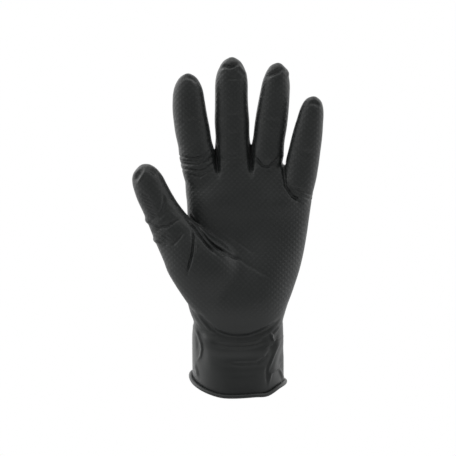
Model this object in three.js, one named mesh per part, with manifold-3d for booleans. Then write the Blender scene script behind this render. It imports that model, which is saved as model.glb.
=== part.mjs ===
// A disposable nitrile glove, in the shape that it has on an open left hand. It is one thin film:
// four finger sleeves, a thumb sleeve, a palm and a loose cuff that ends in a rolled bead. The film
// is hollow from the cuff to the finger tips.
//
// Millimetres. +Z runs from the cuff to the finger tips, the palm faces -Y and the thumb points to
// -X. The origin is the middle of the cuff's opening, at the mean height of its rim.

import * as THREE from 'three';
import { LoftGeometry } from 'three/addons/geometries/LoftGeometry.js';
import { mergeVertices } from 'three/addons/utils/BufferGeometryUtils.js';
import Module from 'manifold-3d';

const wasm = await Module();
wasm.setup();

// Driving sizes. Depth is from the palm side to the back of the hand.
const WALL = 1.3;
const CUFF_WIDTH = 63;
const CUFF_DEPTH = 52;
const CUFF_LENGTH = 45;
const PALM_WIDTH = 86;
const PALM_DEPTH = 33;
const PALM_LENGTH = 101;
const FINGER_LENGTH = 95.2;
const FINGER_WIDTH = 23.2;
const FINGER_DEPTH = 20.5;
const THUMB_LENGTH = 117;
const THUMB_WIDTH = 22.6;
const THUMB_DEPTH = 20.5;
const BEAD_DIAMETER = 2.8;

// The finger sleeves, with length, width and depth as shares of the middle finger's. Each starts
// inside the palm, at a root given as shares of the palm's width and length. Lean is the tilt to the
// little finger's side in degrees. Bow, forward and curl are shares of the finger's own length: how
// far its middle swings to that side, and how far its root and its tip stand in front of the palm's
// middle plane.
const FINGERS = [
	{
		name: 'index', length: 0.889, width: 1.022, depth: 1,
		across: - 0.272, up: 0.896, lean: - 7.7, bow: - 0.028, forward: 0.01, curl: 0.09,
	},
	{
		name: 'middle', length: 1, width: 1, depth: 1,
		across: - 0.024, up: 0.896, lean: - 1.1, bow: - 0.01, forward: 0, curl: 0.06,
	},
	{
		name: 'ring', length: 0.966, width: 0.931, depth: 0.951,
		across: 0.196, up: 0.896, lean: 7.2, bow: 0.004, forward: 0.01, curl: 0.09,
	},
	{
		name: 'little', length: 0.829, width: 0.94, depth: 0.902,
		across: 0.462, up: 0.8, lean: 9.8, bow: 0.002, forward: 0.05, curl: 0.17,
	},
];

// How wide each finger is along its length, as shares of its width, and how deep, of its depth.
const FINGER_SHAPE = [
	{ along: 0, index: 0.85, middle: 0.96, ring: 0.96, little: 0.8, depth: 0.92 },
	{ along: 0.15, index: 0.96, middle: 1.02, ring: 1, little: 0.98, depth: 1.04 },
	{ along: 0.3, index: 0.97, middle: 1.02, ring: 1, little: 1.04, depth: 1.02 },
	{ along: 0.42, index: 0.98, middle: 1, ring: 1, little: 1.03, depth: 0.97 },
	{ along: 0.53, index: 1, middle: 0.99, ring: 1, little: 0.98, depth: 0.98 },
	{ along: 0.63, index: 0.98, middle: 0.97, ring: 0.98, little: 0.94, depth: 0.95 },
	{ along: 0.73, index: 0.94, middle: 0.96, ring: 0.92, little: 0.86, depth: 0.9 },
	{ along: 0.79, index: 0.89, middle: 0.95, ring: 0.89, little: 0.79, depth: 0.86 },
	{ along: 0.84, index: 0.82, middle: 0.9, ring: 0.85, little: 0.74, depth: 0.81 },
	{ along: 0.89, index: 0.73, middle: 0.79, ring: 0.74, little: 0.68, depth: 0.72 },
	{ along: 0.94, index: 0.57, middle: 0.61, ring: 0.58, little: 0.57, depth: 0.58 },
	{ along: 0.975, index: 0.38, middle: 0.41, ring: 0.4, little: 0.4, depth: 0.4 },
	{ along: 1, index: 0.1, middle: 0.1, ring: 0.1, little: 0.1, depth: 0.1 },
];

// The thumb sleeve and the ball of the thumb that it grows out of. Its straight line starts at a
// root given as shares of the palm's width and length, and leans from upright by so many degrees.
const THUMB_ROOT = { across: - 0.153, up: 0.08, lean: - 29 };

// Its sections, from the heel of the hand to the tip, as shares of the thumb's own length, width and
// depth. Aside is how far the section's middle lies to the finger side of the thumb's line, and
// front how far it lies to the palm side.
const THUMB_SHAPE = [
	{ along: 0, aside: 0.2, width: 1.6, front: 0.54, depth: 1.05 },
	{ along: 0.12, aside: 0.28, width: 1.94, front: 0.66, depth: 1.28 },
	{ along: 0.19, aside: 0.3, width: 2.04, front: 0.74, depth: 1.36 },
	{ along: 0.27, aside: 0.28, width: 2.05, front: 0.79, depth: 1.38 },
	{ along: 0.36, aside: 0.2, width: 1.9, front: 0.81, depth: 1.35 },
	{ along: 0.44, aside: 0.13, width: 1.68, front: 0.8, depth: 1.28 },
	{ along: 0.52, aside: 0.06, width: 1.47, front: 0.76, depth: 1.2 },
	{ along: 0.59, aside: 0.01, width: 1.24, front: 0.78, depth: 1.15 },
	{ along: 0.68, aside: 0.0, width: 1.09, front: 0.8, depth: 1.08 },
	{ along: 0.75, aside: 0.01, width: 1.03, front: 0.83, depth: 1.02 },
	{ along: 0.83, aside: 0.03, width: 1, front: 0.88, depth: 1 },
	{ along: 0.88, aside: 0.06, width: 0.965, front: 0.91, depth: 0.95 },
	{ along: 0.914, aside: 0.07, width: 0.9, front: 0.93, depth: 0.88 },
	{ along: 0.945, aside: 0.08, width: 0.8, front: 0.94, depth: 0.78 },
	{ along: 0.97, aside: 0.09, width: 0.64, front: 0.94, depth: 0.62 },
	{ along: 0.986, aside: 0.11, width: 0.45, front: 0.94, depth: 0.44 },
	{ along: 1, aside: 0.14, width: 0.12, front: 0.94, depth: 0.12 },
];

// The cuff, from its rim up to the heel of the hand. Left is the thumb's side. Left and right are
// shares of the cuff's width, front and back of its depth. Power is the outline's squareness, where
// 2 is an ellipse.
const CUFF_SHAPE = [
	{ up: 0, left: 0.53, right: 0.52, front: 0.53, back: 0.51, power: 2.1 },
	{ up: 0.09, left: 0.505, right: 0.5, front: 0.5, back: 0.48, power: 2.1 },
	{ up: 0.45, left: 0.505, right: 0.5, front: 0.48, back: 0.46, power: 2.15 },
	{ up: 0.75, left: 0.505, right: 0.5, front: 0.42, back: 0.43, power: 2.2 },
	{ up: 0.9, left: 0.503, right: 0.505, front: 0.4, back: 0.41, power: 2.2 },
];

// The palm, from the heel of the hand up to the webs between the fingers, in the same way. The
// knuckles are at its length, and the webs past them.
const PALM_SHAPE = [
	{ up: 0, left: 0.376, right: 0.374, front: 0.66, back: 0.62, power: 2.25 },
	{ up: 0.11, left: 0.4, right: 0.4, front: 0.75, back: 0.56, power: 2.3 },
	{ up: 0.2, left: 0.42, right: 0.436, front: 0.74, back: 0.52, power: 2.4 },
	{ up: 0.28, left: 0.42, right: 0.468, front: 0.7, back: 0.5, power: 2.4 },
	{ up: 0.37, left: 0.41, right: 0.5, front: 0.65, back: 0.48, power: 2.45 },
	{ up: 0.49, left: 0.39, right: 0.535, front: 0.58, back: 0.46, power: 2.5 },
	{ up: 0.62, left: 0.39, right: 0.562, front: 0.53, back: 0.44, power: 2.5 },
	{ up: 0.72, left: 0.405, right: 0.578, front: 0.51, back: 0.43, power: 2.5 },
	{ up: 0.83, left: 0.41, right: 0.595, front: 0.5, back: 0.42, power: 2.5 },
	{ up: 0.91, left: 0.42, right: 0.611, front: 0.46, back: 0.41, power: 2.5 },
	{ up: 1, left: 0.42, right: 0.6, front: 0.4, back: 0.36, power: 2.4 },
	{ up: 1.05, left: 0.39, right: 0.51, front: 0.36, back: 0.31, power: 2.3 },
	{ up: 1.1, left: 0.34, right: 0.38, front: 0.3, back: 0.25, power: 2.2 },
	{ up: 1.15, left: 0.28, right: 0.28, front: 0.22, back: 0.18, power: 2.2 },
	{ up: 1.19, left: 0.16, right: 0.17, front: 0.1, back: 0.08, power: 2 },
];

// Pads and hollows of the palm side. Across and up place the middle, wide and tall are the reach,
// and rise is how far it stands out: shares of the palm's width, length and depth.
const PALM_PADS = [
	{ across: - 0.06, up: 0.24, wide: 0.3, tall: 0.22, rise: 0.05 },
	{ across: 0.28, up: 0.34, wide: 0.22, tall: 0.3, rise: 0.08 },
	{ across: 0.08, up: 0.62, wide: 0.22, tall: 0.2, rise: - 0.07 },
	{ across: - 0.2, up: 0.86, wide: 0.14, tall: 0.1, rise: 0.05 },
	{ across: 0.36, up: 0.84, wide: 0.14, tall: 0.1, rise: 0.06 },
];

// The rim isn't level. Rise is a share of the cuff's length, at angles round the cuff in degrees:
// 0 is the little finger's side, 90 the back of the hand, 180 the thumb's side and 270 the palm's.
const RIM_HEIGHT = [
	{ angle: 0, rise: - 0.011 },
	{ angle: 45, rise: 0.02 },
	{ angle: 90, rise: 0.045 },
	{ angle: 135, rise: 0.08 },
	{ angle: 180, rise: 0.1 },
	{ angle: 215, rise: - 0.005 },
	{ angle: 255, rise: - 0.095 },
	{ angle: 290, rise: - 0.082 },
	{ angle: 330, rise: - 0.032 },
	{ angle: 360, rise: - 0.011 },
];

// Slack folds that run round the cuff under the heel of the hand. Up and reach are the valley's
// height and half-width, and sag how much lower its middle hangs than its ends: shares of the
// cuff's length. Facing and spread are degrees round the cuff. Depth is a share of the cuff's
// depth, and a ridge has a negative one.
const CUFF_FOLDS = [
	{ up: 1, sag: 0.2, reach: 0.15, facing: 268, spread: 90, depth: 0.05 },
	{ up: 0.86, sag: 0.14, reach: 0.11, facing: 268, spread: 70, depth: - 0.02 },
	{ up: 0.7, sag: 0.05, reach: 0.14, facing: 270, spread: 62, depth: 0.045 },
	{ up: 0.44, sag: 0.06, reach: 0.12, facing: 280, spread: 50, depth: 0.025 },
	{ up: 0.78, sag: 0.1, reach: 0.2, facing: 90, spread: 95, depth: 0.04 },
	{ up: 0.5, sag: - 0.12, reach: 0.18, facing: 70, spread: 70, depth: 0.035 },
	{ up: 0.3, sag: 0.15, reach: 0.18, facing: 125, spread: 60, depth: 0.03 },
];

// Slack pleats that run up the cuff, where it is too wide for the wrist. Angle and spread are
// degrees round the cuff, twist how far the pleat turns on its way up, low and high its ends as
// shares of the cuff's length, and depth a share of the cuff's depth.
const CUFF_PLEATS = [
	{ angle: 12, spread: 18, twist: - 18, low: 0.1, high: 0.95, depth: 0.035 },
	{ angle: 338, spread: 18, twist: 22, low: 0.05, high: 0.7, depth: 0.03 },
	{ angle: 40, spread: 20, twist: 12, low: 0.05, high: 0.8, depth: 0.035 },
	{ angle: 152, spread: 18, twist: 14, low: 0.15, high: 0.95, depth: 0.035 },
	{ angle: 218, spread: 16, twist: - 12, low: 0.2, high: 0.95, depth: 0.03 },
	{ angle: 130, spread: 20, twist: - 14, low: 0.05, high: 0.75, depth: 0.035 },
];

// Creases across the palm side of the fingers and the thumb, where they bend. Along is a share of
// the sleeve's length, reach is the crease's half-width and depth how deep it is, both of its width.
const CREASES = [
	{ sleeve: 'index', along: 0.2, reach: 0.14, depth: 0.035 },
	{ sleeve: 'index', along: 0.29, reach: 0.14, depth: 0.05 },
	{ sleeve: 'index', along: 0.62, reach: 0.14, depth: 0.025 },
	{ sleeve: 'middle', along: 0.26, reach: 0.14, depth: 0.03 },
	{ sleeve: 'middle', along: 0.58, reach: 0.14, depth: 0.025 },
	{ sleeve: 'ring', along: 0.24, reach: 0.16, depth: 0.05 },
	{ sleeve: 'ring', along: 0.57, reach: 0.14, depth: 0.025 },
	{ sleeve: 'little', along: 0.16, reach: 0.16, depth: 0.04 },
	{ sleeve: 'little', along: 0.52, reach: 0.14, depth: 0.025 },
	{ sleeve: 'thumb', along: 0.62, reach: 0.16, depth: 0.045 },
	{ sleeve: 'thumb', along: 0.69, reach: 0.16, depth: 0.04 },
];

// The facets of the outer surface and of the hollow, which is the same shape set in by the wall.
const OUTER = { inset: 0, sleeveSides: 20 };
const HOLLOW = { inset: WALL, sleeveSides: 12 };
const TRUNK_SIDES = 40;
const CUFF_RINGS = 14;
const PALM_RINGS = 12;
const SLEEVE_RINGS = 12;
const WEB_RINGS = 5;
const BEAD_SIDES = 8;
const SLEEVE_POWER = 2.1; // the squareness of a finger's outline, where 2 is an ellipse
const RIM_CUT = 2 * BEAD_DIAMETER; // how far past the rim the hollow is cut, to open the cuff
const LEAST_HALF = 0.2 * WALL; // the least half-width that an inset section keeps
const SAME_POINT = 1e-4;

// The value of one column at a place in a table, on a smooth curve through its rows.
function column( rows, place, at, key ) {

	const found = rows.findIndex( ( row ) => row[ place ] > at );
	const i = found < 0 ? rows.length - 1 : Math.max( found, 1 );
	const [ a, b ] = [ rows[ i - 1 ], rows[ i ] ];
	const span = b[ place ] - a[ place ];
	const slope = ( from, to ) => ( to[ key ] - from[ key ] ) / ( to[ place ] - from[ place ] );
	const slopeA = slope( rows[ Math.max( i - 2, 0 ) ], b );
	const slopeB = slope( a, rows[ Math.min( i + 1, rows.length - 1 ) ] );
	const t = THREE.MathUtils.clamp( ( at - a[ place ] ) / span, 0, 1 );
	const eased = a[ key ] + ( b[ key ] - a[ key ] ) * t * t * ( 3 - 2 * t );
	return eased + span * t * ( 1 - t ) * ( slopeA * ( 1 - t ) - slopeB * t );

}

// A bell that is 1 at 0 and fades out to 0 at 1 and -1.
function bell( x ) {

	return Math.abs( x ) < 1 ? ( 1 + Math.cos( Math.PI * x ) ) / 2 : 0;

}

// The turn from one angle to another, in degrees from -180 to 180.
function turn( from, to ) {

	return ( ( to - from ) % 360 + 540 ) % 360 - 180;

}

// A point of a rounded outline: the cosine and sine of an angle in degrees, made squarer by power.
function outline( angle, power ) {

	const radians = THREE.MathUtils.degToRad( angle );
	const squared = ( x ) => Math.sign( x ) * Math.abs( x ) ** ( 2 / power );
	return [ squared( Math.cos( radians ) ), squared( Math.sin( radians ) ) ];

}

// The cuff's and the palm's tables as one, with heights and half-sizes in millimetres.
function trunkTable() {

	const sized = ( shape, width, depth, base, length ) => shape.map( ( row ) => ( {
		z: base + row.up * length,
		left: row.left * width,
		right: row.right * width,
		front: row.front * depth,
		back: row.back * depth,
		power: row.power,
	} ) );
	return [
		...sized( CUFF_SHAPE, CUFF_WIDTH, CUFF_DEPTH, 0, CUFF_LENGTH ),
		...sized( PALM_SHAPE, PALM_WIDTH, PALM_DEPTH, CUFF_LENGTH, PALM_LENGTH ),
	];

}

const TRUNK = trunkTable();

// How far the cuff's folds and pleats move the film out of its plain outline.
function cuffRelief( z, angle ) {

	const up = z / CUFF_LENGTH;
	let out = 0;
	for ( const fold of CUFF_FOLDS ) {

		const swing = turn( fold.facing, angle ) / fold.spread;
		const valley = fold.up + fold.sag * ( Math.min( swing * swing, 1 ) - 1 );
		out -= fold.depth * bell( ( up - valley ) / fold.reach ) * bell( swing );

	}

	for ( const pleat of CUFF_PLEATS ) {

		const share = ( 2 * up - pleat.low - pleat.high ) / ( pleat.high - pleat.low );
		const swing = turn( pleat.angle + pleat.twist * share / 2, angle ) / pleat.spread;
		out -= pleat.depth * bell( share ) * bell( swing );

	}

	return out * CUFF_DEPTH;

}

// How far the palm's pads and hollows move the film out of its plain outline.
function palmRelief( x, z ) {

	let out = 0;
	for ( const pad of PALM_PADS ) {

		const across = ( x / PALM_WIDTH - pad.across ) / pad.wide;
		const up = ( ( z - CUFF_LENGTH ) / PALM_LENGTH - pad.up ) / pad.tall;
		out += pad.rise * Math.exp( - across * across - up * up );

	}

	return out * PALM_DEPTH;

}

// A point of the cuff and palm, set in from their outline.
function trunkPoint( z, angle, inset ) {

	const at = ( key ) => column( TRUNK, 'z', z, key );
	const [ across, deep ] = outline( angle, at( 'power' ) );
	const out = cuffRelief( z, angle ) - inset;
	const halfWidth = Math.max( ( at( 'right' ) + at( 'left' ) ) / 2 + out, LEAST_HALF );
	const halfDepth = Math.max( ( at( 'back' ) + at( 'front' ) ) / 2 + out, LEAST_HALF );
	const x = ( at( 'right' ) - at( 'left' ) ) / 2 + across * halfWidth;
	const y = ( at( 'back' ) - at( 'front' ) ) / 2 + deep * halfDepth;
	const pad = Math.max( - deep, 0 ) * palmRelief( x, z );
	const rim = column( RIM_HEIGHT, 'angle', angle, 'rise' ) * Math.max( CUFF_LENGTH - z, 0 );
	return new THREE.Vector3( x, y - pad, z + rim );

}

// The cuff, the palm and the webs. The hollow runs out past the rim and stops short of the webs.
function trunk( detail ) {

	const ring = ( z, lift = 0 ) => Array.from( { length: TRUNK_SIDES }, ( _, i ) => {

		const point = trunkPoint( z, 360 * i / TRUNK_SIDES, detail.inset );
		return point.add( new THREE.Vector3( 0, 0, lift ) );

	} );
	const webs = ( PALM_SHAPE.at( - 1 ).up - 1 ) * PALM_LENGTH;
	const rings = detail.inset > 0 ? [ ring( 0, - RIM_CUT ) ] : [];
	for ( let i = 0; i < CUFF_RINGS; i ++ ) rings.push( ring( CUFF_LENGTH * i / CUFF_RINGS ) );
	for ( let i = 0; i < PALM_RINGS; i ++ ) rings.push( ring( CUFF_LENGTH + PALM_LENGTH * i / PALM_RINGS ) );
	for ( let i = 0; i <= WEB_RINGS; i ++ ) {

		const share = Math.sin( Math.PI / 2 * i / WEB_RINGS );
		rings.push( ring( CUFF_LENGTH + PALM_LENGTH + webs * share, - detail.inset * share ) );

	}

	return rings;

}

// Where the rings of a sleeve lie, as shares of its length: evenly but closer at the tip, with three
// at each crease.
function stations( name, length, width ) {

	const place = ( i ) => Math.sin( Math.PI / 2 * i / SLEEVE_RINGS );
	const places = Array.from( { length: SLEEVE_RINGS + 1 }, ( _, i ) => place( i ) );
	for ( const crease of CREASES.filter( ( row ) => row.sleeve === name ) ) {

		const reach = crease.reach * width / length;
		places.push( crease.along - reach, crease.along, crease.along + reach );

	}

	const least = 0.1 * width / length;
	places.sort( ( a, b ) => a - b );
	const apart = ( i ) => places[ i ] - places[ i - 1 ] > least && 1 - places[ i ] > least / 2;
	return places.filter( ( share, i ) => i === 0 || share === 1 || apart( i ) );

}

// How deep the creases cut into the palm side of a sleeve at a share of its length.
function creaseDepth( name, share, length, width ) {

	let depth = 0;
	for ( const crease of CREASES.filter( ( row ) => row.sleeve === name ) ) {

		depth += crease.depth * width * bell( ( share - crease.along ) * length / ( crease.reach * width ) );

	}

	return depth;

}

// One ring of a sleeve round a middle point, in the plane of two directions.
function sleeveRing( middle, across, deep, halfWidth, halfDepth, crease, detail ) {

	return Array.from( { length: detail.sleeveSides }, ( _, i ) => {

		const [ u, v ] = outline( 360 * i / detail.sleeveSides, SLEEVE_POWER );
		const wide = Math.max( halfWidth - detail.inset, LEAST_HALF );
		const thick = Math.max( halfDepth - detail.inset - crease * Math.max( - v, 0 ), LEAST_HALF );
		return middle.clone().addScaledVector( across, u * wide ).addScaledVector( deep, v * thick );

	} );

}

// A finger bends forward, so its rings follow the curve of its middle line.
function finger( shares, detail ) {

	const row = {
		...shares,
		length: shares.length * FINGER_LENGTH,
		width: shares.width * FINGER_WIDTH,
		depth: shares.depth * FINGER_DEPTH,
	};
	const lean = THREE.MathUtils.degToRad( row.lean );
	const side = new THREE.Vector3( Math.cos( lean ), 0, - Math.sin( lean ) );
	const up = new THREE.Vector3( Math.sin( lean ), 0, Math.cos( lean ) );
	const root = new THREE.Vector3( row.across * PALM_WIDTH, 0, CUFF_LENGTH + row.up * PALM_LENGTH );
	const point = ( share, bow, bend ) => root.clone()
		.addScaledVector( up, share * row.length )
		.addScaledVector( side, bow * row.bow * row.length )
		.add( new THREE.Vector3( 0, - ( row.forward + bend * ( row.curl - row.forward ) ) * row.length, 0 ) );
	const line = new THREE.CatmullRomCurve3( [
		point( 0, 0, 0 ), point( 0.35, 0.6, 0.14 ), point( 0.7, 1, 0.5 ), point( 1, 0, 1 ),
	] );
	return stations( row.name, row.length, row.width ).map( ( share ) => {

		const middle = line.getPointAt( share * ( 1 - detail.inset / row.length ) );
		const along = line.getTangentAt( share );
		const across = new THREE.Vector3( along.z, 0, - along.x ).normalize();
		const deep = new THREE.Vector3().crossVectors( along, across );
		const halfWidth = row.width / 2 * column( FINGER_SHAPE, 'along', share, row.name );
		const halfDepth = row.depth / 2 * column( FINGER_SHAPE, 'along', share, 'depth' );
		const crease = creaseDepth( row.name, share, row.length, row.width );
		return sleeveRing( middle, across, deep, halfWidth, halfDepth, crease, detail );

	} );

}

// The thumb's rings are square to its straight line, because the ball of the thumb is too wide to
// follow a curve.
function thumb( detail ) {

	const lean = THREE.MathUtils.degToRad( THUMB_ROOT.lean );
	const across = new THREE.Vector3( Math.cos( lean ), 0, - Math.sin( lean ) );
	const up = new THREE.Vector3( Math.sin( lean ), 0, Math.cos( lean ) );
	const deep = new THREE.Vector3( 0, 1, 0 );
	const root = new THREE.Vector3( THUMB_ROOT.across * PALM_WIDTH, 0, CUFF_LENGTH + THUMB_ROOT.up * PALM_LENGTH );
	return stations( 'thumb', THUMB_LENGTH, THUMB_WIDTH ).map( ( share ) => {

		const at = ( key ) => column( THUMB_SHAPE, 'along', share, key );
		const middle = root.clone()
			.addScaledVector( up, share * ( THUMB_LENGTH - detail.inset ) )
			.addScaledVector( across, at( 'aside' ) * THUMB_WIDTH )
			.addScaledVector( deep, - at( 'front' ) * THUMB_DEPTH );
		const crease = creaseDepth( 'thumb', share, THUMB_LENGTH, THUMB_WIDTH );
		const halfWidth = at( 'width' ) * THUMB_WIDTH / 2;
		const halfDepth = at( 'depth' ) * THUMB_DEPTH / 2;
		return sleeveRing( middle, across, deep, halfWidth, halfDepth, crease, detail );

	} );

}

// The rolled bead: a round section carried along the rim, rolled to the outside of the film.
function bead() {

	const radius = BEAD_DIAMETER / 2;
	const sides = TRUNK_SIDES;
	const rim = Array.from( { length: sides }, ( _, i ) => trunkPoint( 0, 360 * i / sides, WALL - radius ) );
	return Array.from( { length: sides + 1 }, ( _, i ) => {

		const along = rim[ ( i + 1 ) % sides ].clone().sub( rim[ ( i + sides - 1 ) % sides ] );
		const outward = new THREE.Vector3( along.y, - along.x, 0 ).normalize();
		return Array.from( { length: BEAD_SIDES }, ( _, j ) => {

			const angle = 2 * Math.PI * ( j + 0.5 ) / BEAD_SIDES;
			return rim[ i % sides ].clone()
				.addScaledVector( outward, radius * Math.sin( angle ) )
				.add( new THREE.Vector3( 0, 0, radius * Math.cos( angle ) ) );

		} );

	} );

}

// A closed body lofted through its rings. A loop's last ring is its first one again.
function body( rings, loop = false ) {

	const caps = { capStart: ! loop, capEnd: ! loop };
	const loft = new THREE.BufferGeometry().copy( new LoftGeometry( rings, caps ) );
	loft.deleteAttribute( 'normal' );
	loft.deleteAttribute( 'uv' );
	const merged = mergeVertices( loft, SAME_POINT );
	return new wasm.Manifold( new wasm.Mesh( {
		numProp: 3,
		vertProperties: new Float32Array( merged.attributes.position.array ),
		triVerts: new Uint32Array( merged.index.array ),
	} ) );

}

// The hand's form: the cuff and palm, the thumb and the four fingers, joined.
function form( detail ) {

	const sleeves = [ thumb( detail ), ...FINGERS.map( ( row ) => finger( row, detail ) ) ];
	return sleeves.reduce( ( whole, rings ) => whole.add( body( rings ) ), body( trunk( detail ) ) );

}

function meshOf( name, solid, material ) {

	const { vertProperties, triVerts } = solid.getMesh();
	const geometry = new THREE.BufferGeometry();
	geometry.setAttribute( 'position', new THREE.BufferAttribute( vertProperties, 3 ) );
	geometry.setIndex( new THREE.BufferAttribute( triVerts, 1 ) );
	geometry.computeVertexNormals();
	const mesh = new THREE.Mesh( geometry, material );
	mesh.name = name;
	return mesh;

}

const film = new THREE.MeshStandardMaterial( { color: 0x2b2d2e, roughness: 0.5, metalness: 0 } );
const glove = new THREE.Group();
const shell = form( OUTER ).subtract( form( HOLLOW ) ).add( body( bead(), true ) );
glove.add( meshOf( 'glove', shell, film ) );

export default glove;
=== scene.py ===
# A disposable nitrile glove in the shape that it has on an open left hand: a thin dark film with a
# grip lattice on the hand, a smooth slack cuff and a rolled bead. The sizes and tables of the film's
# form follow those of the frame, and are fitted up to 1.5 mm closer to the real outline. Lengths are
# in millimetres until the mesh is finished.

import math

import bpy
import numpy as np
from mathutils import Matrix, Vector


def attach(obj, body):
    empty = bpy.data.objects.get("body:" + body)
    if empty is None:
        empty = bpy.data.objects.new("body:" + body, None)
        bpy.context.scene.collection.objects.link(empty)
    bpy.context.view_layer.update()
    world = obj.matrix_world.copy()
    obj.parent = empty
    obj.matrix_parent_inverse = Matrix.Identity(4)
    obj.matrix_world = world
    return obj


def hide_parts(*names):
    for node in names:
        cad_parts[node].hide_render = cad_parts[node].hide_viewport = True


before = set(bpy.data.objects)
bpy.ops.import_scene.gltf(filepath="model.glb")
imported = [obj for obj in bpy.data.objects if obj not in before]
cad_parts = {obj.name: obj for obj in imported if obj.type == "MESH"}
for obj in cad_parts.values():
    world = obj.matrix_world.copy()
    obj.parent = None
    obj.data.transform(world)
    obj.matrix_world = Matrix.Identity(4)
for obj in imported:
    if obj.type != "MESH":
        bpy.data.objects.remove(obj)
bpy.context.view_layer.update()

MM = 0.001


def table(names, *rows):
    """A table as one array of numbers for each named column."""
    return dict(zip(names.split(), np.array(rows, float).T))


# The camera looks along +Y from in front of the palm, a little from above.
CAMERA_TARGET = (-6.7, 0, 110.8)
CAMERA_DISTANCE = 1200
CAMERA_ELEVATION = 6
FOCAL_PIXELS = 1699.7
IMAGE_PIXELS = 456
SENSOR_WIDTH = 36

# Driving sizes. Depth is from the palm side to the back of the hand.
WALL = 1.3
CUFF_WIDTH = 63
CUFF_DEPTH = 52
CUFF_LENGTH = 45
PALM_WIDTH = 86
PALM_DEPTH = 33
PALM_LENGTH = 101
FINGER_LENGTH = 95.2
FINGER_WIDTH = 23.2
FINGER_DEPTH = 20.5
THUMB_LENGTH = 116.4
THUMB_WIDTH = 22.6
THUMB_DEPTH = 20.5
BEAD_DIAMETER = 2.8
BEAD_OUT = 1.6
BEAD_UP = 0.5

# The finger sleeves, like the frame's: length, width and depth as shares of the middle finger's,
# roots as shares of the palm's sizes, lean in degrees, and the rest as shares of the own length.
FINGERS = {
    "index": dict(length=0.889, width=1.022, depth=1, across=-0.272, up=0.896, lean=-7.7,
                  bow=-0.028, forward=0.01, curl=0.09),
    "middle": dict(length=1, width=1, depth=1, across=-0.024, up=0.896, lean=-1.1,
                   bow=-0.01, forward=0, curl=0.06),
    "ring": dict(length=0.966, width=0.931, depth=0.951, across=0.196, up=0.896, lean=7.2,
                 bow=0.004, forward=0.01, curl=0.09),
    "little": dict(length=0.829, width=0.94, depth=0.902, across=0.462, up=0.8, lean=9.8,
                   bow=0.002, forward=0.05, curl=0.17),
}

# How far a finger's middle line swings aside and forward along its length.
FINGER_LINE = table(
    "along bow bend",
    (0, 0, 0),
    (0.35, 0.6, 0.14),
    (0.7, 1, 0.5),
    (1, 0, 1),
)

# How wide each finger is along its length, as shares of its width, and how deep, of its depth.
FINGER_SHAPE = table(
    "along index middle ring little depth",
    (0, 0.85, 0.96, 1, 0.8, 0.92),
    (0.15, 0.98, 1.03, 1.09, 0.98, 1.04),
    (0.3, 1.04, 1.09, 1.08, 1.05, 1.02),
    (0.36, 1.02, 1.04, 1.03, 1.04, 1),
    (0.42, 0.98, 1, 1, 1.03, 0.97),
    (0.53, 1, 1.02, 1.02, 0.98, 0.98),
    (0.63, 0.98, 0.98, 1, 0.94, 0.95),
    (0.73, 0.95, 0.96, 0.95, 0.87, 0.9),
    (0.79, 0.91, 0.96, 0.91, 0.81, 0.86),
    (0.84, 0.87, 0.93, 0.87, 0.77, 0.81),
    (0.89, 0.78, 0.84, 0.78, 0.7, 0.72),
    (0.94, 0.61, 0.66, 0.63, 0.58, 0.58),
    (0.975, 0.4, 0.44, 0.44, 0.4, 0.4),
    (1, 0.1, 0.1, 0.1, 0.1, 0.1),
)

# The thumb sleeve and the ball of the thumb.
THUMB_ROOT = dict(across=-0.153, up=0.08, lean=-29)
THUMB_SHAPE = table(
    "along aside width front depth",
    (0, 0.2, 1.6, 0.54, 1.05),
    (0.12, 0.28, 1.94, 0.66, 1.28),
    (0.19, 0.3, 2.04, 0.74, 1.36),
    (0.27, 0.28, 2.05, 0.79, 1.38),
    (0.36, 0.2, 1.9, 0.81, 1.35),
    (0.44, 0.13, 1.64, 0.8, 1.28),
    (0.52, 0.06, 1.42, 0.76, 1.2),
    (0.59, 0.01, 1.24, 0.78, 1.15),
    (0.68, 0, 1.09, 0.8, 1.08),
    (0.75, 0.01, 1.03, 0.83, 1.02),
    (0.83, 0.03, 1, 0.88, 1),
    (0.88, 0.06, 0.965, 0.91, 0.95),
    (0.914, 0.07, 0.9, 0.93, 0.88),
    (0.945, 0.08, 0.8, 0.94, 0.78),
    (0.97, 0.09, 0.64, 0.94, 0.62),
    (0.986, 0.11, 0.45, 0.94, 0.44),
    (1, 0.14, 0.12, 0.94, 0.12),
)

# The cuff from its rim to the heel of the hand, and the palm from there to the webs.
CUFF_SHAPE = table(
    "up left right front back power",
    (0, 0.502, 0.514, 0.505, 0.485, 2.1),
    (0.09, 0.503, 0.517, 0.5, 0.48, 2.1),
    (0.45, 0.505, 0.517, 0.48, 0.46, 2.15),
    (0.75, 0.505, 0.517, 0.42, 0.43, 2.2),
    (0.9, 0.497, 0.51, 0.4, 0.41, 2.2),
)
PALM_SHAPE = table(
    "up left right front back power",
    (0, 0.366, 0.372, 0.66, 0.62, 2.25),
    (0.11, 0.4, 0.404, 0.75, 0.56, 2.3),
    (0.2, 0.42, 0.442, 0.74, 0.52, 2.4),
    (0.28, 0.42, 0.474, 0.7, 0.5, 2.4),
    (0.37, 0.41, 0.507, 0.65, 0.48, 2.45),
    (0.49, 0.39, 0.54, 0.58, 0.46, 2.5),
    (0.62, 0.39, 0.566, 0.53, 0.44, 2.5),
    (0.72, 0.405, 0.582, 0.51, 0.43, 2.5),
    (0.83, 0.41, 0.6, 0.5, 0.42, 2.5),
    (0.91, 0.42, 0.614, 0.46, 0.41, 2.5),
    (1, 0.42, 0.6, 0.4, 0.36, 2.4),
    (1.05, 0.39, 0.51, 0.36, 0.31, 2.3),
    (1.1, 0.34, 0.38, 0.3, 0.25, 2.2),
    (1.15, 0.28, 0.28, 0.22, 0.18, 2.2),
    (1.19, 0.16, 0.17, 0.1, 0.08, 2),
)

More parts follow.
